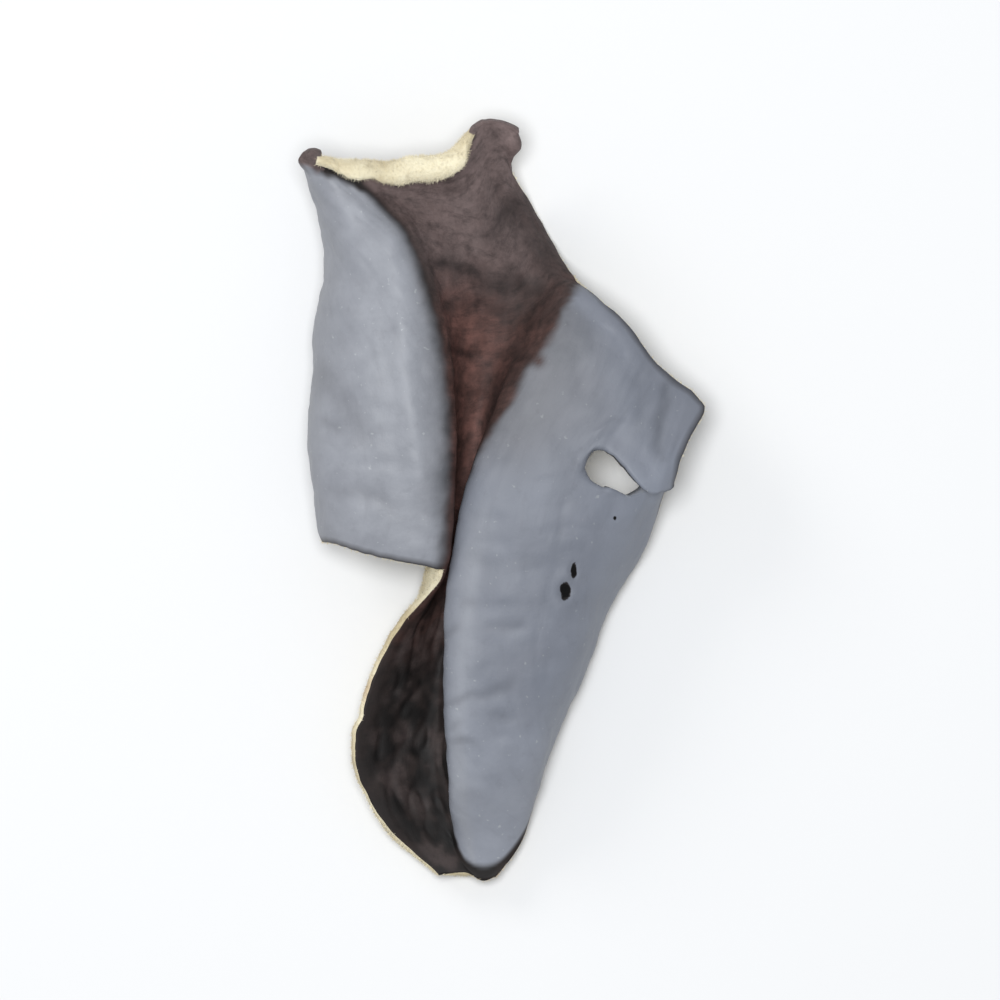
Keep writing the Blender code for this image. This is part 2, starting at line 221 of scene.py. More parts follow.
def ragged(along, seed):
    """From 0 to 1, how far a margin has frayed inwards at a distance along it, in millimetres."""
    broad, fine, nick = (noise.noise(Vector((along / span, seed, layer))) for span, layer in FRAY_LAYERS)
    nick = max(0, nick - NICK_START)
    return min(1, max(0, 0.32 + 0.45 * broad + 0.28 * fine + 1.3 * nick))


def frayed_shares(row, across):
    """The shares at which a row crosses the rails, drawn in where the side margins are frayed."""
    along = row / ROWS * MARGIN_LENGTH
    shares = across.copy()
    near_right = np.clip((across - 1 + SIDE_BAND) / SIDE_BAND, 0, 1) ** 2
    shares -= SIDE_FRAY * ragged(along, RIGHT_SEED) * near_right
    shares -= HORN_ROUNDING * np.clip((row - ROWS + HORN_ROWS) / HORN_ROWS, 0, 1) ** 2 * near_right
    if row >= LOBE_ROW:
        near_left = np.clip((SIDE_BAND - across) / SIDE_BAND, 0, 1) ** 2
        shares += SIDE_FRAY * ragged(along, LOBE_SIDE_SEED) * near_left
    else:
        near_left = np.clip((LOBE_SHARE + PANEL_BAND - across) / PANEL_BAND, 0, 1) ** 2
        near_left *= min(1, (LOBE_ROW - row) / PANEL_FRAY_ROWS)
        shares += SIDE_FRAY * ragged(along, PANEL_SEED) * near_left
    return shares


def sheet_row(row, across):
    """One row of the sheet, as points at shares of its width."""
    shares = frayed_shares(row, across)
    along = row / ROWS
    lobe_along = max(0, (row - LOBE_ROW) / (ROWS - LOBE_ROW))
    body_points = [rail_point(rail, along) for rail in BODY_RAILS]
    lobe_points = [rail_point(rail, lobe_along) for rail in LOBE_RAILS]
    whole = bent_across(LOBE_RAILS + BODY_RAILS, np.array(lobe_points + body_points), shares)
    below = np.clip((LOBE_ROW - row) / LOBE_BLEND_ROWS, 0, 1)
    if below == 0:
        return whole
    return (1 - below) * whole + below * bent_across(BODY_RAILS, np.array(body_points), shares)


def rolled(edge, before, across, turn):
    """One row of the upper margin past the sheet's last row, at a share of the roll's turn."""
    shares, arcs, sweeps = zip(*ROLL)
    frays = np.array([1 - LIP_FRAY * ragged(share * LIP_LENGTH, LIP_SEED) for share in across])
    length = turn * (through(shares, arcs, across) * frays)[:, None]
    swept = turn * np.radians(through(shares, sweeps, across) * frays)[:, None]
    forward = edge - before
    forward /= np.linalg.norm(forward, axis=1)[:, None]
    normal = np.cross(np.gradient(edge, axis=0), forward)
    normal /= np.linalg.norm(normal, axis=1)[:, None]
    return edge + length * (
        np.sinc(swept / np.pi) * forward + np.sin(swept / 2) * np.sinc(swept / 2 / np.pi) * normal)


def row_shifts(across):
    """How many rows each point takes its place from above its own, along the lobe's end and the tear."""
    shifts = np.zeros((ROWS + 1, COLUMNS + 1))
    rows = np.arange(ROWS + 1)
    above_lobe = np.where(rows >= LOBE_ROW, np.clip(1 - (rows - LOBE_ROW) / LOBE_END_ROWS, 0, 1) ** 2, 0)
    near_tear = np.clip(1 - abs(rows - TEAR_ROW) / TEAR_SIDE_ROWS, 0, 1) ** 2
    for column, share in enumerate(across):
        inside_lobe = np.clip((LOBE_SHARE - share) / LOBE_END_BAND, 0, 1)
        fray = LOBE_FRAY_ROWS * ragged(share * LOBE_END_LENGTH, LOBE_END_SEED)
        shifts[:, column] += above_lobe * inside_lobe * fray
        if column > TEAR_COLUMN:
            jag = noise.noise(Vector((share * TEAR_BROAD_JAGS, 2.2, 0)))
            jag += 0.5 * noise.noise(Vector((share * TEAR_FINE_JAGS, 5.2, 0)))
            jag *= min(1, (column - TEAR_COLUMN) / TEAR_JAG_COLUMNS)
            shifts[:, column] += near_tear * TEAR_JAG_ROWS * jag
    return shifts


def sheet_points():
    """Every point of the sheet, as rows from the base up, each from the left to the right."""
    across = np.linspace(0, 1, COLUMNS + 1)
    rows = np.array([sheet_row(row, across) for row in range(ROWS + 1)])
    source = np.clip(np.arange(ROWS + 1)[:, None] + row_shifts(across), 0, ROWS - 1e-6)
    lower = source.astype(int)
    part_way = (source - lower)[:, :, None]
    columns = np.arange(COLUMNS + 1)[None, :]
    rows = (1 - part_way) * rows[lower, columns] + part_way * rows[lower + 1, columns]
    edge, before = rows[-1], rows[-1 - ROLL_LEAD_ROWS]
    roll = [rolled(edge, before, across, turn / ROLL_ROWS) for turn in range(1, ROLL_ROWS + 1)]
    return np.concatenate([rows, np.array(roll)])


def torn(column, rows_above):
    """How far a point moves as the tear opens. The upper side laps over the lower one at the margin."""
    across = column / COLUMNS
    shares, gapes, lifts, sags = zip(*TEAR)
    if across <= shares[0]:
        return Vector((0, 0, 0))
    gape = through(shares, gapes, across)
    lift = through(shares, lifts, across)
    sag = through(shares, sags, across)
    side = float(np.sign(rows_above))
    near = max(0, 1 - abs(rows_above) / TEAR_REACH_ROWS)
    return Vector((0, side * gape - sag, side * lift)) * near * near * (3 - 2 * near)


def uneven(place):
    """How far a point strays as the sheet dries and shrinks."""
    return UNEVEN_REACH * noise.noise_vector(place / UNEVEN_SPAN)


def grain_lengths(points):
    """For every point, its distance across the sheet from the middle column and along it from the base."""
    steps_across = np.linalg.norm(np.diff(points, axis=1), axis=2)
    across = np.concatenate([np.zeros((len(points), 1)), np.cumsum(steps_across, axis=1)], axis=1)
    across -= across[:, COLUMNS // 2][:, None]
    steps_along = np.linalg.norm(np.diff(points, axis=0), axis=2)
    along = np.concatenate([[0], np.cumsum(steps_along[:, COLUMNS // 2:].mean(axis=1))])
    return across, np.broadcast_to(along[:, None], across.shape)


# How far round the tear's inner end its rims and the sheet are eased, and how many times.
TEAR_END_REACH = 4.6 * MM
TEAR_END_PASSES = 14
TEAR_RIM_REACH = 1.9 * MM
TEAR_RIM_PASSES = 2

# The sheet's shallow puckers, which fade over the first stretch from the base.
PUCKER_DEPTH = 0.24 * MM
PUCKER_SPAN = 5.2 * MM
CRINKLE_DEPTH = 0.10 * MM
CRINKLE_SPAN = 2.1 * MM
PUCKER_FADE = 12 * MM
PUCKER_LEAST = 0.15


def build_sheet():
    """The open sheet, with the gap below its left lobe and the tear cut in it."""
    rows = ROWS + ROLL_ROWS
    bm = bmesh.new()
    grain = bm.loops.layers.uv.new("grain")
    bmesh.ops.create_grid(bm, x_segments=COLUMNS, y_segments=rows, size=0.5)
    bmesh.ops.scale(bm, vec=(COLUMNS, rows, 1), verts=bm.verts)
    bmesh.ops.translate(bm, vec=(COLUMNS / 2, rows / 2, 0), verts=bm.verts)
    lobe_column = round(LOBE_SHARE * COLUMNS)
    middles = {face: face.calc_center_median() for face in bm.faces}
    gap = [face for face, middle in middles.items() if middle.x < lobe_column and middle.y < LOBE_ROW]
    bmesh.ops.delete(bm, geom=gap, context="FACES")
    tear = [edge for edge in bm.edges
            if all(round(vert.co.y) == TEAR_ROW and round(vert.co.x) >= TEAR_COLUMN for vert in edge.verts)]
    bmesh.ops.split_edges(bm, edges=tear)

    points = sheet_points()
    across, along = grain_lengths(points)
    share = bm.verts.layers.float.new("share")
    reach = bm.verts.layers.float.new("reach")
    for face in bm.faces:
        for loop in face.loops:
            column, row = round(loop.vert.co.x), round(loop.vert.co.y)
            loop[grain].uv = across[row, column], along[row, column]
    places = []
    for vert in bm.verts:
        column, row = round(vert.co.x), round(vert.co.y)
        sides = [face.calc_center_median().y for face in vert.link_faces]
        rows_above = row - TEAR_ROW or sum(sides) / len(sides) - TEAR_ROW
        place = Vector(points[row, column]) + torn(column, rows_above)
        places.append(place + uneven(place))
        vert[share] = column / COLUMNS
        vert[reach] = row / ROWS
    for vert, place in zip(bm.verts, places):
        vert.co = place
    pucker(bm)
    ease_tear_end(bm)
    bmesh.ops.translate(bm, vec=-Vector(GROUND_POINT), verts=bm.verts)
    return bm


def pucker(bm):
    """Draws the sheet into the shallow hollows and ridges of dried flesh."""
    bm.normal_update()
    moves = []
    for vert in bm.verts:
        room = min(1, max(PUCKER_LEAST, vert.co.y / PUCKER_FADE))
        broad = noise.noise(vert.co / PUCKER_SPAN) * PUCKER_DEPTH
        fine = noise.noise(vert.co / CRINKLE_SPAN) * CRINKLE_DEPTH
        moves.append(vert.normal * (broad + fine) * room)
    for vert, move in zip(bm.verts, moves):
        vert.co += move


def on_tear(bm, vert):
    """Whether a point lies on either side of the tear."""
    share, reach = bm.verts.layers.float["share"], bm.verts.layers.float["reach"]
    return round(vert[reach] * ROWS) == TEAR_ROW and vert[share] * COLUMNS > TEAR_COLUMN - 0.5


def relax(bm, verts, passes):
    """Draws each point half way to the middle of its neighbours, some times over."""
    for _ in range(passes):
        bmesh.ops.smooth_vert(bm, verts=verts, factor=0.5, use_axis_x=True, use_axis_y=True, use_axis_z=True)


def ease_tear_end(bm):
    """Rounds the inner end of the tear, and lets the sheet settle round it."""
    end = min((vert for vert in bm.verts if on_tear(bm, vert)), key=lambda vert: vert.co.x)
    rim = [vert for vert in bm.verts if on_tear(bm, vert) and (vert.co - end.co).length < TEAR_RIM_REACH]
    for _ in range(TEAR_RIM_PASSES):
        middles = []
        for vert in rim:
            beside = [edge.other_vert(vert).co for edge in vert.link_edges if edge.is_boundary]
            middles.append(sum(beside, Vector()) / len(beside))
        for vert, middle in zip(rim, middles):
            vert.co = vert.co.lerp(middle, 0.5)
    near = [vert for vert in bm.verts if (vert.co - end.co).length < TEAR_END_REACH and not vert.is_boundary]
    relax(bm, near, TEAR_END_PASSES)


# No felt grows this near the tear or within so many radii of the knob, nor past these shares on the horn.
BARE_REACH = 0.6 * MM
KNOB_BARE_REACH = 1.2
HORN_SHARE = 0.705
HORN_START = 0.95


def tree_of(places):
    """The places, ready for the search for the nearest."""
    places = list(places)
    tree = kdtree.KDTree(len(places))
    for index, place in enumerate(places):
        tree.insert(place, index)
    tree.balance()
    return tree


def margin_distances(bm):
    """How far each point lies from the outer margin."""
    tree = tree_of(vert.co for vert in bm.verts if vert.is_boundary and not on_tear(bm, vert))
    return [tree.find(vert.co)[2] for vert in bm.verts]


def bare_flesh(bm):
    """For every point, 2 on the knob, 1 on the horn and beside the tear, where no felt grows, and else 0."""
    share, reach = bm.verts.layers.float["share"], bm.verts.layers.float["reach"]
    tree = tree_of(vert.co for vert in bm.verts if vert.is_boundary and on_tear(bm, vert))
    bare = []
    for vert in bm.verts:
        place = vert.co + Vector(GROUND_POINT)
        on_knob = (place - Vector(KNOBS[0][0])).length < KNOB_BARE_REACH * KNOBS[0][1]
        on_horn = vert[share] > HORN_SHARE and vert[reach] > HORN_START
        beside_tear = tree.find(vert.co)[2] < BARE_REACH
        bare.append(2 if on_knob else float(on_horn or beside_tear))
    return bare


def flesh_thickness(place, from_margin):
    """The sheet thins to its margins, and thickens into the stub at the base and the two knobs."""
    place = place + Vector(GROUND_POINT)
    stub = max(0, 1 - place.y / STUB_LENGTH)
    taper = min(1, from_margin / MARGIN_TAPER)
    sheet = MARGIN_THICKNESS + (SHEET_THICKNESS - MARGIN_THICKNESS) * taper * (2 - taper)
    for middle, radius, thickness in KNOBS:
        knob = max(0, 1 - (place - Vector(middle)).length / radius)
        knob *= min(1, from_margin / KNOB_TAPER)
        sheet += (thickness - sheet) * knob * (2 - knob)
    return sheet + (STUB_THICKNESS - sheet) * stub * stub


def apply_modifiers(piece):
    """Gives the piece the mesh that its modifiers make, and takes them off."""
    depsgraph = bpy.context.evaluated_depsgraph_get()
    mesh = bpy.data.meshes.new_from_object(piece.evaluated_get(depsgraph))
    piece.modifiers.clear()
    piece.data = mesh
    mesh.name = piece.name


def add_object(name, data):
    thing = bpy.data.objects.new(name, data)
    bpy.context.scene.collection.objects.link(thing)
    return thing


def store(mesh, name, values):
    """Keeps one number for each vertex of the mesh, for its materials to read."""
    attribute = mesh.attributes.get(name) or mesh.attributes.new(name, "FLOAT", "POINT")
    attribute.data.foreach_set("value", np.asarray(values, np.float32))


def soft_step(low, high, values):
    """0 below the low value, 1 above the high one, and a soft step between."""
    u = np.clip((np.asarray(values, float) - low) / (high - low), 0, 1)
    return u * u * (3 - 2 * u)


def set_inputs(tree, node, inputs):
    """Gives a node's inputs, by name or number, their values or the sockets that feed them."""
    for key, value in inputs.items():
        if isinstance(value, bpy.types.NodeSocket):
            tree.links.new(value, node.inputs[key])
        else:
            node.inputs[key].default_value = value


def add_node(tree, kind, inputs=None, **settings):
    node = tree.nodes.new(kind)
    for key, value in settings.items():
        setattr(node, key, value)
    set_inputs(tree, node, inputs or {})
    return node


def fibre_noise(tree, place, scale, detail, roughness, stretch=(1, 1, 1)):
    """A noise value on a stretched copy of a coordinate."""
    mapped = add_node(tree, "ShaderNodeMapping", {"Vector": place, "Scale": stretch})
    return add_node(tree, "ShaderNodeTexNoise", {
        "Vector": mapped.outputs[0], "Scale": scale,
        "Detail": detail, "Roughness": roughness}).outputs["Fac"]


def ramp(tree, value, low, high, to_low=0.0, to_high=1.0):
    """The value, carried from one range to another and held inside it."""
    return add_node(tree, "ShaderNodeMapRange", {
        "Value": value, "From Min": low, "From Max": high, "To Min": to_low, "To Max": to_high}).outputs[0]


def stored(tree, name):
    """The number kept on the mesh under a name."""
    return add_node(tree, "ShaderNodeAttribute", attribute_name=name).outputs["Fac"]


def calculate(tree, operation, *values):
    return add_node(tree, "ShaderNodeMath", dict(enumerate(values)), operation=operation).outputs[0]


def multiply(tree, first, second):
    return calculate(tree, "MULTIPLY", first, second)


def move_vector(tree, operation, *vectors):
    return add_node(tree, "ShaderNodeVectorMath", dict(enumerate(vectors)), operation=operation)


def weaken(tree, strength, mask, low, high, least, most=1.0):
    """The strength, brought down to its least where the mask is low."""
    return multiply(tree, strength, ramp(tree, mask, low, high, least, most))


def mix_colours(tree, share, first, second):
    return add_node(tree, "ShaderNodeMix", {0: share, 6: first, 7: second}, data_type="RGBA").outputs[2]


def raised(tree, height, strength, depth):
    """The turn that a height too fine for the mesh gives the surface."""
    bump = add_node(tree, "ShaderNodeBump", {"Strength": strength, "Distance": depth, "Height": height})
    return bump.outputs[0]


def new_material(name):
    material = bpy.data.materials.new(name)
    material.use_nodes = True
    return material, material.node_tree, material.node_tree.nodes["Principled BSDF"]


# The colours of the flesh and of the grey on its face, which is partly the flesh's own bloom and partly a
# painted reflection.
FLESH_DARK = (0.008, 0.0062, 0.0058, 1)
FLESH_BROWN = (0.022, 0.0150, 0.0135, 1)
FLESH_RED = (0.165, 0.074, 0.060, 1)
FLESH_PALE = (0.179, 0.131, 0.125, 1)
# Painted shade: a black for the pits and the creases.
PAINTED_SHADE_BLACK = (0.001, 0.001, 0.001, 1)
BLOOM_GREY = (0.248, 0.257, 0.284, 1)
BLOOM_SHADE = (0.204, 0.212, 0.236, 1)
BLOOM_COOL = (0.200, 0.222, 0.272, 1)
CREST_HIGHLIGHT_GREY = (0.310, 0.318, 0.334, 1)
BLOOM_FLECK = (0.38, 0.40, 0.41, 1)
BLOOM_COAT = 0.16
COAT_ROUGHNESS = 0.42
BLOOM_GLOSS = 0.20
FLESH_SPECULAR = 0.3
FACE_BUMP = 0.42
FACE_BUMP_DEPTH = 0.14 * MM

# Pits in the face: middle, half size and depth. Their walls, rims and painted black shade are in half sizes.
PITS = (
    ((7.6 * MM, -10.6 * MM, 12.7 * MM), (0.66 * MM, 1.05 * MM, 4 * MM), 0.40 * MM),
    ((8.6 * MM, -8.2 * MM, 12.5 * MM), (0.42 * MM, 0.98 * MM, 4 * MM), 0.30 * MM),
    ((13.4 * MM, -2.1 * MM, 10.5 * MM), (0.24 * MM, 0.30 * MM, 4 * MM), 0.10 * MM))
PIT_RAGGEDNESS = 1.3
PIT_PAINTED_SHADE = (1.44, 1.72)
PIT_WALL = (0.5, 1.2)
PIT_RIM_HEIGHT = 0.10 * MM
PIT_RIM_REACH = 1.8
PIT_RIM_WIDTH = 0.5


def make_face_material():
    """The smooth face: near-black flesh, reddish in the hollow, with a satin grey on the flaps that is
    partly bloom and partly a painted reflection.
    """
    material, tree, shader = new_material("smooth_face")
    place = add_node(tree, "ShaderNodeTexCoord").outputs["Object"]
    grain = add_node(tree, "ShaderNodeUVMap", uv_map="grain").outputs[0]
    bloom, crease = stored(tree, "bloom"), stored(tree, "crease")
    clouds = fibre_noise(tree, place, 260, 5, 0.6)
    mottle = fibre_noise(tree, place, 620, 4, 0.65)
    # Each pit is painted black with a ragged edge, as the shade inside a hole.
    pit_shade = 0.0
    for middle, half_size, _ in PITS:
        away = move_vector(tree, "SUBTRACT", place, middle).outputs[0]
        away = move_vector(tree, "DIVIDE", away, half_size).outputs[0]
        reach = move_vector(tree, "LENGTH", away).outputs["Value"]
        reach = calculate(tree, "MULTIPLY_ADD", mottle, PIT_RAGGEDNESS, reach)
        pit_shade = calculate(tree, "MAXIMUM", pit_shade, ramp(tree, reach, *PIT_PAINTED_SHADE, 1, 0))

    # The flesh: clouded brown, reddish and pale where the mesh says, with dark veins, and with painted shade
    # in the creases.
    flesh_colour = mix_colours(tree, ramp(tree, clouds, 0.35, 0.68), FLESH_DARK, FLESH_BROWN)
    cross = fibre_noise(tree, grain, 420, 3, 0.6, (0.5, 1, 1))
    reddened = weaken(tree, stored(tree, "warmth"), cross, 0.30, 0.66, 0.55)
    reddened = weaken(tree, reddened, mottle, 0.30, 0.62, 0.55)
    flesh_colour = mix_colours(tree, reddened, flesh_colour, FLESH_RED)
    paled = weaken(tree, stored(tree, "pale"), mottle, 0.30, 0.66, 0.45)
    flesh_colour = mix_colours(tree, paled, flesh_colour, FLESH_PALE)
    veins = ramp(tree, fibre_noise(tree, grain, 560, 7, 0.72, (0.6, 1, 1)), 0.48, 0.66, 0, 0.5)
    flesh_colour = mix_colours(tree, veins, flesh_colour, FLESH_DARK)
    flesh_colour = mix_colours(tree, multiply(tree, crease, 0.70), flesh_colour, PAINTED_SHADE_BLACK)

    # The bloom, partly a painted reflection: clouded grey with pale flecks, thinner on the fibres and the
    # rims, and thinner in the pits and the creases as painted shade.
    bloom_colour = mix_colours(tree, ramp(tree, clouds, 0.32, 0.66), BLOOM_SHADE, BLOOM_GREY)
    # A bluer grey on the right flap is painted reflection.
    bloom_colour = mix_colours(tree, multiply(tree, stored(tree, "cool"), 0.65), bloom_colour, BLOOM_COOL)
    # A silver band on the right flap's crest is a painted highlight.
    crest_highlit = multiply(tree, stored(tree, "silvery"), 0.16)
    bloom_colour = mix_colours(tree, crest_highlit, bloom_colour, CREST_HIGHLIGHT_GREY)
    flecks = ramp(tree, fibre_noise(tree, place, 1500, 2, 0.5), 0.70, 0.76, 0, 0.5)
    bloom_colour = mix_colours(tree, flecks, bloom_colour, BLOOM_FLECK)
    fibres = fibre_noise(tree, grain, 900, 4, 0.6, (1, 0.16, 1))
    bloomed = weaken(tree, bloom, fibres, 0.20, 0.46, 0.92)
    bloomed = weaken(tree, bloomed, mottle, 0.24, 0.42, 0.90)
    bloomed = weaken(tree, bloomed, stored(tree, "from_margin"), 0.1, 0.9, 0.25)
    bloomed = multiply(tree, bloomed, ramp(tree, pit_shade, 0.0, 0.5, 1.0, 0.0))
    bloomed = multiply(tree, bloomed, ramp(tree, crease, 0.0, 1.0, 1.0, 0.70))
    colour = mix_colours(tree, bloomed, flesh_colour, bloom_colour)

    dull = ramp(tree, clouds, 0.3, 0.7, 0.66, 0.80)
    roughness = calculate(tree, "MULTIPLY_ADD", bloom, -BLOOM_GLOSS, dull)
    micro = fibre_noise(tree, grain, 2600, 3, 0.6, (1, 0.3, 1))
    height = calculate(tree, "MULTIPLY_ADD", micro, 0.3, mottle)
    set_inputs(tree, shader, {
        "Base Color": mix_colours(tree, pit_shade, colour, PAINTED_SHADE_BLACK),
        "Roughness": calculate(tree, "MAXIMUM", pit_shade, roughness),
        "Coat Weight": multiply(tree, bloomed, BLOOM_COAT),
        "Coat Roughness": COAT_ROUGHNESS,
        "Specular IOR Level": FLESH_SPECULAR,
        "Normal": raised(tree, height, FACE_BUMP, FACE_BUMP_DEPTH)})
    return material


# The felt's colours, and how its mat of hairs takes the light.
FELT_CREAM = (0.78, 0.72, 0.54, 1)
FELT_TAN = (0.52, 0.44, 0.28, 1)
FELT_OLIVE = (0.20, 0.15, 0.08, 1)
FELT_STAIN = (0.38, 0.19, 0.08, 1)
FELT_ROUGHNESS = 0.95
FELT_SHEEN = 0.08
FELT_BUMP = 0.7
FELT_BUMP_DEPTH = 0.25 * MM


def make_felt_colour():
    """Cream felt with broad tan patches, olive-brown speckles and a few rusty stains."""
    tree = bpy.data.node_groups.new("felt_colour", "ShaderNodeTree")
    tree.interface.new_socket("Place", in_out="INPUT", socket_type="NodeSocketVector")
    tree.interface.new_socket("Colour", in_out="OUTPUT", socket_type="NodeSocketColor")
    place = add_node(tree, "NodeGroupInput").outputs["Place"]
    patches = fibre_noise(tree, place, 110, 4, 0.6)
    speckles = fibre_noise(tree, place, 1300, 3, 0.7)
    blotches = fibre_noise(tree, place, 420, 4, 0.65)
    stains = fibre_noise(tree, place, 75, 3, 0.5, (1, 1, 2))
    colour = mix_colours(tree, ramp(tree, patches, 0.36, 0.66), FELT_CREAM, FELT_TAN)
    colour = mix_colours(tree, ramp(tree, blotches, 0.56, 0.78, 0, 0.55), colour, FELT_OLIVE)
    colour = mix_colours(tree, ramp(tree, speckles, 0.60, 0.74, 0, 0.42), colour, FELT_OLIVE)
    colour = mix_colours(tree, ramp(tree, stains, 0.66, 0.80, 0, 0.6), colour, FELT_STAIN)
    add_node(tree, "NodeGroupOutput", {"Colour": colour})
    return tree


felt_colour = make_felt_colour()


def felt_nodes(tree):
    """The felt's place and its colour there."""
    place = add_node(tree, "ShaderNodeTexCoord").outputs["Object"]
    felt = add_node(tree, "ShaderNodeGroup", {"Place": place}, node_tree=felt_colour)
    return place, felt.outputs["Colour"]


def make_felt_material():
    """The felted back: a mat of short pale hairs, which gives way to dark flesh on bare rims."""
    material, tree, shader = new_material("felted_back")
    place, felt = felt_nodes(tree)
    mat = fibre_noise(tree, place, 2800, 4, 0.7)
    worn = calculate(tree, "MULTIPLY_ADD", mat, 0.7, stored(tree, "bare_rim"))
    paled = weaken(tree, stored(tree, "pale"), mat, 0.30, 0.66, 0.45, 0.90)
    rim_flesh = mix_colours(tree, paled, FLESH_BROWN, FLESH_PALE)
    set_inputs(tree, shader, {
        "Base Color": mix_colours(tree, ramp(tree, worn, 0.72, 0.98), felt, rim_flesh),
        "Roughness": FELT_ROUGHNESS,
        "Specular IOR Level": FLESH_SPECULAR,
        "Sheen Weight": FELT_SHEEN,
        "Normal": raised(tree, mat, FELT_BUMP, FELT_BUMP_DEPTH)})
    return material


noise.seed_set(UNEVEN_SEED)
sheet = build_sheet()
from_margin = margin_distances(sheet)
bare = bare_flesh(sheet)
thicknesses = [flesh_thickness(vert.co, distance) for vert, distance in zip(sheet.verts, from_margin)]
flesh_mesh = bpy.data.meshes.new("dried_flesh")
sheet.to_mesh(flesh_mesh)
sheet.free()
store(flesh_mesh, "from_margin", np.array(from_margin) / MM)
store(flesh_mesh, "bare", bare)
flesh_mesh.materials.append(make_face_material())
flesh_mesh.materials.append(make_felt_material())
flesh = add_object("dried_flesh", flesh_mesh)
group = flesh.vertex_groups.new(name="flesh")
for index, thickness in enumerate(thicknesses):
    group.add([index], thickness / STUB_THICKNESS, "REPLACE")
thicken = flesh.modifiers.new("flesh", "SOLIDIFY")
thicken.thickness = STUB_THICKNESS
thicken.offset = 0
thicken.vertex_group = group.name
thicken.material_offset = 1
thicken.material_offset_rim = 1
one_side = len(flesh_mesh.vertices)
both_sides = 2 * len(flesh_mesh.polygons)


def read(mesh, name):
    """The numbers kept for the vertices of the mesh under a name."""
    values = np.empty(len(mesh.vertices), np.float32)
    mesh.attributes[name].data.foreach_get("value", values)
    return values


def vectors_of(mesh, name):
    """The places or the normals of the mesh's vertices, a row for each."""
    values = np.empty(len(mesh.vertices) * 3, np.float32)
    mesh.vertices.foreach_get(name, values)
    return values.reshape(-1, 3)


def grain_of(mesh):
    """The grain coordinates of each vertex, in millimetres across and along the sheet."""
    corners = np.empty(len(mesh.loops) * 2, np.float32)
    mesh.uv_layers["grain"].uv.foreach_get("vector", corners)
    vertices = np.empty(len(mesh.loops), np.int32)
    mesh.loops.foreach_get("vertex_index", vertices)
    grain = np.zeros((len(mesh.vertices), 2))
    grain[vertices] = corners.reshape(-1, 2)
    return grain / MM


# How many columns of the thick flesh are rounded at the tear's inner end, and how many times.
TEAR_ROUND_COLUMNS = 6
TEAR_ROUND_PASSES = 4

# The relief of the face and of the felt. A form on the grain has its spans across and along it, and a seed.
FIBRE_DEPTH = 0.055 * MM
FIBRES = (1.15, 7.5, 0.5)
RIPPLE_DEPTH = 0.075 * MM
RIPPLES = (4.5, 1.9, 9.1)
PEBBLE_DEPTH = 0.028 * MM
PEBBLES = (0.62, 0.8, 4.4)
PANEL_WRINKLE_DEPTH = 0.36 * MM
PANEL_WRINKLE_WIDTH = 0.34
PANEL_WRINKLES = (2.3, 5.2, 6.3)
FELT_LUMP_DEPTH = 0.11 * MM
FELT_LUMP_SPAN = 1.3 * MM
FELT_FOLDS = (2.6, 6.0, 2.8)

# The relief fades towards the base and the margins: over how many millimetres, and to what share.
BASE_FADE_LENGTH = 10
BASE_FADE_LEAST = 0.15
MARGIN_FADE_LENGTH = 1.2
MARGIN_FADE_LEAST = 0.35

# Creases across the face: start and end as (across, from the base) on the sheet, half width, and depth.
CREASES = (
    ((-8.4, 72.6), (-2.6, 69.8), 1.0, 0.16), ((-2.6, 69.8), (5.8, 68.0), 1.3, 0.15),
    ((-7.8, 67.0), (1.6, 66.0), 0.8, 0.10), ((-7.0, 61.8), (-2.6, 60.4), 0.7, 0.17),
    ((-1.0, 61.4), (3.4, 60.2), 0.7, 0.11), ((-6.0, 56.6), (-1.2, 56.0), 0.7, 0.11),
    ((-20.5, 65.6), (-7.6, 64.2), 1.3, -0.12), ((19.2, 58.4), (18.2, 48.6), 0.8, 0.15),
    ((16.6, 59.0), (15.6, 52.0), 0.9, 0.06), ((-4.6, 37.2), (4.6, 36.2), 1.0, 0.05),
    ((-5.0, 31.4), (-2.6, 32.0), 0.7, 0.09), ((-2.4, 29.6), (2.8, 29.0), 0.7, 0.07),
    ((-7.2, 28.6), (-4.8, 28.9), 0.6, 0.12), ((-7.0, 20.0), (-3.4, 20.9), 0.5, 0.13),
    ((-3.8, 20.9), (1.6, 22.8), 0.8, 0.11), ((-1.6, 19.4), (1.6, 18.2), 0.8, 0.08),
    ((-6.8, 17.2), (-4.6, 17.6), 0.5, 0.11), ((-6.4, 15.9), (-3.0, 15.2), 0.5, 0.13),
    ((-5.6, 9.6), (-1.4, 8.8), 0.8, 0.06), ((-22.0, 60.0), (-15.4, 50.4), 1.5, 0.10),
    ((-20.6, 45.4), (-12.2, 43.4), 0.8, 0.07), ((-21.2, 54.0), (-18.4, 51.6), 0.6, 0.08),
    ((2.2, 80.0), (-1.8, 74.0), 0.9, 0.12))
CREASE_END = (-1.0, 1.5)
CREASE_WAVES = ((0.3, 0.7), (0.12, 1.9))
# At this depth a crease carries its full painted shade.
DARK_CREASE_DEPTH = 0.20 * MM

# The ridge down the left lobe, as (across, from the base) points, its half width, height and two ends.
RIDGE = ((-13.4, 77.2), (-11.9, 68.0), (-11.0, 58.0), (-10.0, 50.0), (-8.6, 42.0), (-7.6, 37.5))
RIDGE_HALF_WIDTH = 1.5
RIDGE_HEIGHT = 0.38
RIDGE_FOOT = (36.5, 41)
RIDGE_TOP = (74, 79)


def pit_depths(places):
    """How far the pits draw each point in, less their raised rims."""
    depths = np.zeros(len(places))
    for middle, half_size, depth in PITS:
        reach = np.linalg.norm((places - np.array(middle)) / np.array(half_size), axis=1)
        rim = PIT_RIM_HEIGHT * np.exp(-((reach - PIT_RIM_REACH) / PIT_RIM_WIDTH) ** 2)
        depths += depth * (1 - soft_step(*PIT_WALL, reach)) - rim
    return depths


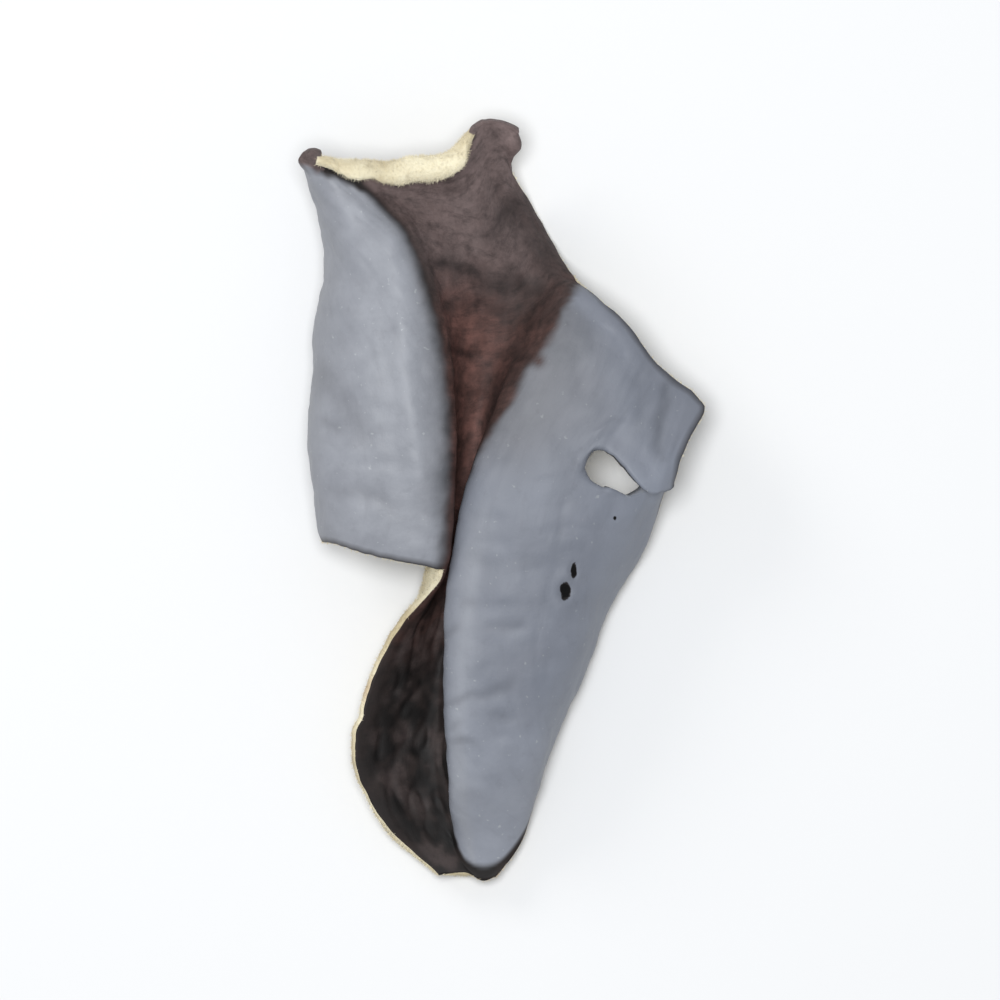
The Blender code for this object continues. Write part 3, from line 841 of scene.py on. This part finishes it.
def crease_depths(places):
    """How far the creases draw the face in, for points given in the rails' frame in millimetres."""
    depths = np.zeros(len(places))
    for start, end, half_width, depth in CREASES:
        start, end = np.array(start), np.array(end)
        along = end - start
        length = np.linalg.norm(along)
        along /= length
        away = places[:, :2] - start
        reach = away @ along
        wander = sum(size * np.sin(reach * turn + phase) for (size, turn), phase in zip(CREASE_WAVES, start))
        off = away @ np.array((-along[1], along[0])) - wander
        ends = soft_step(*CREASE_END, reach) * soft_step(*CREASE_END, length - reach)
        depths += depth * ends * np.exp(-(off / half_width) ** 2)
    up, side = np.array(RIDGE[::-1])[:, 1], np.array(RIDGE[::-1])[:, 0]
    off = places[:, 0] - np.interp(places[:, 1], up, side)
    ends = soft_step(*RIDGE_FOOT, places[:, 1]) * (1 - soft_step(*RIDGE_TOP, places[:, 1]))
    depths -= RIDGE_HEIGHT * ends * np.exp(-(off / RIDGE_HALF_WIDTH) ** 2)
    return depths * MM


# The lower panel lies between two shares of the width, up to a distance from the base, each a soft step.
PANEL_LEFT = (0.38, 0.42)
PANEL_RIGHT = (0.61, 0.65)
PANEL_TOP = (38, 46)


def in_lower_panel(share, along):
    """1 on the panel below the slit, beside the right flap, and 0 elsewhere."""
    between = soft_step(*PANEL_LEFT, share) * (1 - soft_step(*PANEL_RIGHT, share))
    return between * (1 - soft_step(*PANEL_TOP, along))


def on_grain(spot, form):
    """A noise value at a spot on the grain, for a form's spans and seed."""
    width, length, seed = form
    return noise.noise(Vector((spot[0] / width, spot[1] / length, seed)))


def round_tear_end(piece):
    """Rounds the rims of the flesh at the inner end of the tear."""
    bm = bmesh.new()
    bm.from_mesh(piece.data)
    share, reach, bare = (bm.verts.layers.float[name] for name in ("share", "reach", "bare"))
    near = [vert for vert in bm.verts if vert[bare] > 0.5 and vert[reach] < HORN_START
            and vert[share] * COLUMNS < TEAR_COLUMN + TEAR_ROUND_COLUMNS]
    relax(bm, near, TEAR_ROUND_PASSES)
    bm.to_mesh(piece.data)
    bm.free()


def dress(piece):
    """Adds the fibres, creases and pits of the face, and the lumps of the felted back."""
    mesh = piece.data
    places = vectors_of(mesh, "co")
    rail_places = (places + np.array(GROUND_POINT)) / MM
    faded = np.clip(rail_places[:, 1] / BASE_FADE_LENGTH, BASE_FADE_LEAST, 1)
    faded *= np.clip(read(mesh, "from_margin") / MARGIN_FADE_LENGTH, MARGIN_FADE_LEAST, 1)
    creases = crease_depths(rail_places)
    # The deeper a crease, the darker its painted shade.
    store(mesh, "crease", np.clip(creases / DARK_CREASE_DEPTH, 0, 1))
    hollows = creases + pit_depths(places)
    panel = in_lower_panel(read(mesh, "share"), rail_places[:, 1])
    moves = np.zeros(len(places))
    for index, spot in enumerate(grain_of(mesh)):
        if index < one_side:
            fibre = 1 - 2 * abs(on_grain(spot, FIBRES))
            ripple, pebble = on_grain(spot, RIPPLES), on_grain(spot, PEBBLES)
            moves[index] = FIBRE_DEPTH * (fibre - 0.5) + RIPPLE_DEPTH * ripple + PEBBLE_DEPTH * pebble
            moves[index] -= hollows[index]
            if panel[index] > 0:
                hill = abs(on_grain(spot, PANEL_WRINKLES)) / PANEL_WRINKLE_WIDTH
                moves[index] -= PANEL_WRINKLE_DEPTH * panel[index] * max(0, 1 - hill) ** 1.5
        else:
            lump = noise.noise(Vector(places[index]) / FELT_LUMP_SPAN)
            moves[index] = FELT_LUMP_DEPTH * (lump + on_grain(spot, FELT_FOLDS))
    places = places + vectors_of(mesh, "normal") * (moves * faded)[:, None]
    mesh.vertices.foreach_set("co", places.astype(np.float32).ravel())
    mesh.update()


# The bloom ends at the top on a line: a point and its rise for each step across, in the rails' frame.
# It fades over a soft step there, and the noises draw its ends in and out.
LEFT_BLOOM_TOP = (-22.9, 82.9, -0.42)
LEFT_TOP_FADE = (-0.7, 0.5)
RIGHT_BLOOM_TOP = (5.7, 63.1, 1.67)
RIGHT_TOP_FADE = (-1.2, 1.2)
CLOUD_SPAN = 3.4
FLECK_SPAN = 1.1
CLOUD_STRAY = 0.006
FLECK_STRAY = 0.004

# Soft steps across the sheet, each from one share of its width to another.
LEFT_BLOOM_EDGE = (0.334, 0.372)
LEFT_TURN_EDGE = (0.306, 0.345)
RIGHT_BLOOM_EDGE = (0.636, 0.666)
RIGHT_THIN_EDGE = (0.70, 0.86)
RIGHT_LIFT_EDGE = (0.80, 0.95)
HOLLOW_EDGE = (0.345, 0.39)
HOLLOW_WALL = (0.50, 0.63)
HOLLOW_MARGIN = (0.67, 0.84)

# Soft steps along the sheet, each from one distance from the base to another.
LEFT_TURN_FOOT = (39, 46)
LEFT_BLOOM_DRAW = (60, 68)
RIGHT_THIN_FOOT = (44, 54)
RIGHT_LIFT_FADE = (2, 26)
CREST_FADE = (36, 50)
TIP_FADE = (8, 24)
HOLLOW_FOOT = (22, 40)
HOLLOW_TOP = (64, 72)
MARGIN_TOP = (77, 83)
WARMTH_FADE = (64, 74)
PALE_RISE = (64, 76)
PALE_TOP = (78, 84)
PANEL_WARM_FOOT = (20, 34)

# The lowest point of the right flap's bloom, how it curves up on both sides, and how it fades.
TIP_PLACE = (-2.2, 0.9)
TIP_CURVE = 0.18
TIP_REACH = 6.5
TIP_END_FADE = (-0.4, 0.6)

# The notch in the edge of the right flap's bloom.
NOTCH_PLACE = (4.2, 60.2)
NOTCH_REACH = 0.7

# The crest of the right flap, where a painted highlight runs, as its share of the width and how broad it is.
CREST_SHARE = 0.706
CREST_WIDTH = 0.022

# The painted shade in the hollow above the right flap: middle, reach and strength.
SHADE_PLACE = (3.8, 66.8)
SHADE_REACH = (3.2, 2.4)
SHADE = 0.5

# How strong the bloom is, and what each part of a flap adds to it or takes from it. The gains towards the
# right margin, the base and the tip are painted light on slopes turned from the lamps, the crest's gain is a
# painted highlight, and the loss on the inner band is a thinner painted reflection.
LEFT_TURN_LOSS = 0.30
RIGHT_BLOOM = 0.71
THIN_LOSS = 0.13
SHADE_LIFT_GAIN = 0.22
CREST_HIGHLIGHT_GAIN = 0.20
TIP_LIFT_GAIN = 0.16
CLOUD_GAIN = 0.05

# How warm the panel's flesh is, and how pale the panel's and the knob's.
PANEL_WARMTH = 0.16
PANEL_PALENESS = 0.17
KNOB_PALENESS = 0.6


def blotches(places, span):
    """A noise value for each place."""
    return np.array([noise.noise(Vector(place) / span) for place in places])


def line_at(line, side):
    """How far from the base a line lies at a place across."""
    return line[1] + line[2] * (side - line[0])


def left_bloom(share, side, along, stray, fine):
    """From 0 to 1, the left lobe's bloom, whose painted reflection thins where the lobe turns down to the
    slit.
    """
    turned = LEFT_TURN_LOSS * soft_step(*LEFT_TURN_EDGE, share) * soft_step(*LEFT_TURN_FOOT, along)
    inwards = share + stray + 0.010 * soft_step(*LEFT_BLOOM_DRAW, along)
    bloom = (1 - turned) * (1 - soft_step(*LEFT_BLOOM_EDGE, inwards))
    top = line_at(LEFT_BLOOM_TOP, side) + 0.5 * fine
    return bloom * (1 - soft_step(*LEFT_TOP_FADE, along - top))


def right_area(share, side, along, stray, wobble, fine):
    """From 0 to 1, where the right flap carries its bloom, down to its tip at the base."""
    top = line_at(RIGHT_BLOOM_TOP, side) + 1.2 * wobble + 0.5 * fine
    area = soft_step(*RIGHT_BLOOM_EDGE, share + 1.7 * stray)
    area *= 1 - soft_step(*RIGHT_TOP_FADE, along - top)
    notch_away = np.hypot(side - NOTCH_PLACE[0], along - NOTCH_PLACE[1])
    area *= 1 - np.exp(-(notch_away / NOTCH_REACH) ** 2)
    lowest = np.minimum(TIP_PLACE[1] + TIP_CURVE * (side - TIP_PLACE[0]) ** 2, TIP_REACH)
    return area * soft_step(*TIP_END_FADE, along - lowest)


def mark_hollow(mesh, places, bloom, wobble, fine):
    """Keeps where the hollow and the lower panel are reddish, pale or dark. High in the hollow the pale is
    partly a painted reflection, and the dark is painted shade.
    """
    share, side, along = read(mesh, "share"), places[:, 0], places[:, 1]
    panel, blotch = in_lower_panel(share, along), wobble + 0.5 * fine
    hollow = soft_step(*HOLLOW_EDGE, share) * soft_step(*HOLLOW_FOOT, along)
    hollow *= 1 - np.clip(bloom, 0, 1)

    warmth = hollow * (1 - 0.85 * soft_step(*WARMTH_FADE, along))
    warmth *= 1 - 0.55 * soft_step(*HOLLOW_WALL, share)
    panel_warmth = PANEL_WARMTH * panel * soft_step(*PANEL_WARM_FOOT, along)
    warmth = np.maximum(warmth, panel_warmth * soft_step(-0.3, 0.3, blotch))
    mottled = 1 - 0.35 * soft_step(-0.15, 0.5, fine)
    mottled *= 1.1 - 0.4 * soft_step(-0.1, 0.4, wobble)
    store(mesh, "warmth", warmth * mottled)

    by_margin = soft_step(*HOLLOW_MARGIN, share) * soft_step(*HOLLOW_TOP, along)
    by_margin *= 1 - soft_step(*MARGIN_TOP, along)
    pale = 0.08 + 0.66 * soft_step(*PALE_RISE, along) + 0.26 * soft_step(*PALE_TOP, along)
    pale = hollow * pale * (1 - 0.55 * by_margin)
    pale = np.maximum(pale, PANEL_PALENESS * panel * soft_step(0.0, 0.45, blotch))
    store(mesh, "pale", np.maximum(pale, KNOB_PALENESS * (read(mesh, "bare") > 1.5)))

    # Painted shade: a patch in the hollow above the right flap, and dark blotches on the lower panel.
    shade_away = (places[:, :2] - np.array(SHADE_PLACE)) / np.array(SHADE_REACH)
    shade = SHADE * np.exp(-np.hypot(*shade_away.T) ** 2)
    shade = np.maximum(shade, panel * soft_step(0.0, 0.40, -blotch))
    store(mesh, "crease", np.maximum(read(mesh, "crease"), shade))


def mark_face(piece):
    """Keeps where the raised flaps carry their grey, which is partly bloom and partly painted reflection,
    how strong and cool it is, and the painted highlight on the right flap's crest.
    """
    mesh = piece.data
    places = (vectors_of(mesh, "co") + np.array(GROUND_POINT)) / MM
    share, side, along = read(mesh, "share"), places[:, 0], places[:, 1]
    wobble, fine = blotches(places, CLOUD_SPAN), blotches(places, FLECK_SPAN)
    stray = CLOUD_STRAY * wobble + FLECK_STRAY * fine
    left = left_bloom(share, side, along, stray, fine)
    right = right_area(share, side, along, stray, wobble, fine)
    thin = soft_step(*RIGHT_THIN_FOOT, along) * (1 - soft_step(*RIGHT_THIN_EDGE, share))
    # Painted light lifts the grey towards the right margin and the base, where the slopes face away from the
    # lamps.
    shade_lift = 1 - (1 - soft_step(*RIGHT_LIFT_EDGE, share)) * soft_step(*RIGHT_LIFT_FADE, along)
    shade_lift *= 1 - soft_step(*RIGHT_THIN_FOOT, along)
    crest = np.exp(-((share - CREST_SHARE) / CREST_WIDTH) ** 2) * (1 - soft_step(*CREST_FADE, along))
    tip = 1 - soft_step(*TIP_FADE, along)
    strength = RIGHT_BLOOM - THIN_LOSS * thin + SHADE_LIFT_GAIN * shade_lift + CREST_HIGHLIGHT_GAIN * crest
    strength += TIP_LIFT_GAIN * tip + CLOUD_GAIN * wobble
    store(mesh, "bloom", np.clip(left + right * strength, 0, 1))
    store(mesh, "cool", right * (1 - thin) * (1 - 0.5 * tip) * (1 - 0.5 * crest))
    store(mesh, "silvery", right * crest)
    mark_hollow(mesh, places, left + right, wobble, fine)


# The soft edge of the bare horn, as shares of the sheet, and of the bare knob, as shares of its radius.
HORN_EDGE = 0.012
HORN_EDGE_STRAY = 0.010
KNOB_EDGE = (KNOB_BARE_REACH - 0.2, KNOB_BARE_REACH + 0.1)
KNOB_EDGE_STRAY = 0.2
RIM_STRAY_SPAN = 0.8 * MM


def bare_rims(piece):
    """Shows dark flesh instead of felt on the horn's rim, all over the knob and on the tear's rims."""
    mesh = piece.data
    places = vectors_of(mesh, "co") + np.array(GROUND_POINT)
    share, reach, bare = read(mesh, "share"), read(mesh, "reach"), read(mesh, "bare")
    stray = blotches(places, RIM_STRAY_SPAN)
    on_rim = np.zeros(len(places), bool)
    for polygon in mesh.polygons[both_sides:]:
        corners = list(polygon.vertices)
        on_rim[corners] = True
        if bare[corners].min() > 0.5 and reach[corners].max() < HORN_START:
            polygon.material_index = 0
    horn = on_rim * soft_step(-HORN_EDGE, HORN_EDGE, share - HORN_SHARE + HORN_EDGE_STRAY * stray)
    horn *= soft_step(-HORN_EDGE, HORN_EDGE, reach - HORN_START + HORN_EDGE_STRAY * stray)
    from_knob = np.linalg.norm(places - np.array(KNOBS[0][0]), axis=1) / KNOBS[0][1]
    knob = 1 - soft_step(*KNOB_EDGE, from_knob + KNOB_EDGE_STRAY * stray)
    store(mesh, "bare_rim", np.maximum(horn, knob))


apply_modifiers(flesh)
round_tear_end(flesh)
dress(flesh)
mark_face(flesh)
bare_rims(flesh)
flesh.data.shade_smooth()
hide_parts("wood_ear")
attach(flesh, "root")

# The felt. Short pale hairs stand on the back, on the rolled lip and on the margins.
# Each is a thin open cone, planted at random on the felt, leaning, and pressed flat where the ear rests.
# They are planted in three strips along the ear, so that no piece grows too large.
HAIR_LENGTH = 0.42 * MM
HAIR_RADIUS = 0.034 * MM
HAIR_SIZES = (0.55, 1.15)
HAIR_LEAN = 1.1
HAIRS_A_SQUARE_MM = 24
HAIR_ROUGHNESS = 0.85
HAIR_SHEEN = 0.15
FLOOR_CLEARANCE = 0.03 * MM
BARE_FROM = 0.4
NAP_STRIPS = (("felt_nap_lower", -60 * MM, -8 * MM, 3), ("felt_nap_middle", -8 * MM, 22 * MM, 5),
              ("felt_nap_upper", 22 * MM, 60 * MM, 8))


def make_hair_material():
    material, tree, shader = new_material("felt_hair")
    _, felt = felt_nodes(tree)
    set_inputs(tree, shader, {"Base Color": felt, "Roughness": HAIR_ROUGHNESS, "Sheen Weight": HAIR_SHEEN})
    return material


def compare(tree, operation, value, limit):
    return add_node(tree, "FunctionNodeCompare", {0: value, 1: limit}, operation=operation).outputs[0]


def both(tree, first, second):
    return add_node(tree, "FunctionNodeBooleanMath", {0: first, 1: second}, operation="AND").outputs[0]


def felted_roots(tree, low, high, seed):
    """Nodes that scatter the roots of the hairs over the felted faces of a strip of the ear."""
    source = add_node(tree, "GeometryNodeObjectInfo", {"Object": flesh}).outputs["Geometry"]
    felt_material = flesh.data.materials[1]
    felted = add_node(tree, "GeometryNodeMaterialSelection", {"Material": felt_material}).outputs[0]
    place = add_node(tree, "GeometryNodeInputPosition").outputs[0]
    along = add_node(tree, "ShaderNodeSeparateXYZ", {0: place}).outputs["Y"]
    above, below = compare(tree, "GREATER_EQUAL", along, low), compare(tree, "LESS_THAN", along, high)
    kept = add_node(tree, "GeometryNodeInputNamedAttribute", {"Name": "bare"}, data_type="FLOAT")
    covered = compare(tree, "LESS_THAN", kept.outputs["Attribute"], BARE_FROM)
    chosen = both(tree, both(tree, above, below), both(tree, felted, covered))
    return add_node(tree, "GeometryNodeDistributePointsOnFaces", {
        "Mesh": source, "Selection": chosen, "Density": HAIRS_A_SQUARE_MM / MM ** 2, "Seed": seed})


def nap_nodes(name, low, high, seed, hair_material):
    """Nodes that grow a leaning hair from each root of a strip."""
    tree = bpy.data.node_groups.new(name, "GeometryNodeTree")
    tree.interface.new_socket("Geometry", in_out="OUTPUT", socket_type="NodeSocketGeometry")
    roots = felted_roots(tree, low, high, seed)
    scatter = add_node(tree, "FunctionNodeRandomValue", {
        0: (-HAIR_LEAN, -HAIR_LEAN, -HAIR_LEAN), 1: (HAIR_LEAN, HAIR_LEAN, HAIR_LEAN), "Seed": seed + 1},
        data_type="FLOAT_VECTOR").outputs[0]
    aim = move_vector(tree, "ADD", roots.outputs["Normal"], scatter).outputs[0]
    turn = add_node(tree, "FunctionNodeAlignRotationToVector", {"Vector": aim}, axis="Z").outputs[0]
    size = add_node(tree, "FunctionNodeRandomValue", {
        2: HAIR_SIZES[0], 3: HAIR_SIZES[1], "Seed": seed + 2}, data_type="FLOAT").outputs[1]
    hair = add_node(tree, "GeometryNodeMeshCone", {
        "Vertices": 3, "Radius Top": 0.0, "Radius Bottom": HAIR_RADIUS, "Depth": HAIR_LENGTH},
        fill_type="NONE").outputs["Mesh"]
    planted = add_node(tree, "GeometryNodeInstanceOnPoints", {
        "Points": roots.outputs["Points"], "Instance": hair, "Rotation": turn, "Scale": size}).outputs[0]
    hairs = add_node(tree, "GeometryNodeRealizeInstances", {0: planted}).outputs[0]
    tip = add_node(tree, "GeometryNodeInputPosition").outputs[0]
    parts = add_node(tree, "ShaderNodeSeparateXYZ", {0: tip}).outputs
    height = calculate(tree, "MAXIMUM", parts["Z"], FLOOR_CLEARANCE)
    pressed = add_node(tree, "ShaderNodeCombineXYZ", {0: parts["X"], 1: parts["Y"], 2: height}).outputs[0]
    laid = add_node(tree, "GeometryNodeSetPosition", {"Geometry": hairs, "Position": pressed}).outputs[0]
    coloured = add_node(tree, "GeometryNodeSetMaterial", {"Geometry": laid, "Material": hair_material})
    add_node(tree, "NodeGroupOutput", {0: coloured.outputs[0]})
    return tree


hair_material = make_hair_material()
for name, low, high, seed in NAP_STRIPS:
    nap_mesh = bpy.data.meshes.new(name)
    nap = add_object(name, nap_mesh)
    grower = nap.modifiers.new("grow", "NODES")
    grower.node_group = nap_nodes(name, low, high, seed, hair_material)
    apply_modifiers(nap)
    nap.data.materials.clear()
    nap.data.materials.append(hair_material)
    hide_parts("wood_ear")
    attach(nap, "root")

# The floor. A plain pale tabletop of matt board, on which the ear lies.
# It is one square, with its top at the height where the ear rests.
FLOOR_HALF_WIDTH = 1.5
FLOOR_GREY = (0.70, 0.70, 0.70, 1)
FLOOR_ROUGHNESS = 0.8
floor_mesh = bpy.data.meshes.new("tabletop")
table = bmesh.new()
bmesh.ops.create_grid(table, x_segments=1, y_segments=1, size=FLOOR_HALF_WIDTH)
table.to_mesh(floor_mesh)
table.free()
floor = add_object("tabletop", floor_mesh)
floor_material, floor_tree, floor_shader = new_material("pale_tabletop")
set_inputs(floor_tree, floor_shader, {"Base Color": FLOOR_GREY, "Roughness": FLOOR_ROUGHNESS})
floor_mesh.materials.append(floor_material)

# The light. A round soft box hangs almost straight above the ear, and a weaker one stands to the upper left.
# Pale walls all round lift the shadows.
WALL_COLOUR = (0.95, 0.97, 1.0, 1)
WALL_STRENGTH = 0.42


def add_light(name, place, size, power, colour):
    """A round soft box that faces the ear."""
    light = bpy.data.lights.new(name, "AREA")
    light.shape = "DISK"
    light.size = size
    light.energy = power
    light.color = colour
    lamp = add_object(name, light)
    lamp.location = place
    lamp.rotation_euler = (-Vector(place)).to_track_quat("-Z", "Y").to_euler()


add_light("soft_box", (-0.045, 0.04, 0.75), size=0.28, power=5.2, colour=(0.96, 0.98, 1.0))
add_light("side_light", (-0.45, 0.40, 0.35), size=0.30, power=1.2, colour=(1.0, 0.98, 0.95))
world = bpy.data.worlds.new("pale_walls")
world.use_nodes = True
walls = world.node_tree.nodes["Background"]
set_inputs(world.node_tree, walls, {"Color": WALL_COLOUR, "Strength": WALL_STRENGTH})
bpy.context.scene.world = world
bpy.context.scene.view_settings.view_transform = "Standard"

# The camera. It looks straight down on the ear from high up, through a long lens.
# The ear lies with its base towards the bottom of the frame.
VIEW_HEIGHT = 1.20
VIEW_WIDTH = 0.118
camera_data = bpy.data.cameras.new("camera")
camera_data.sensor_width = 36
camera_data.lens = camera_data.sensor_width * VIEW_HEIGHT / VIEW_WIDTH
camera = add_object("camera", camera_data)
camera.location = (0, 0, VIEW_HEIGHT)
bpy.context.scene.camera = camera
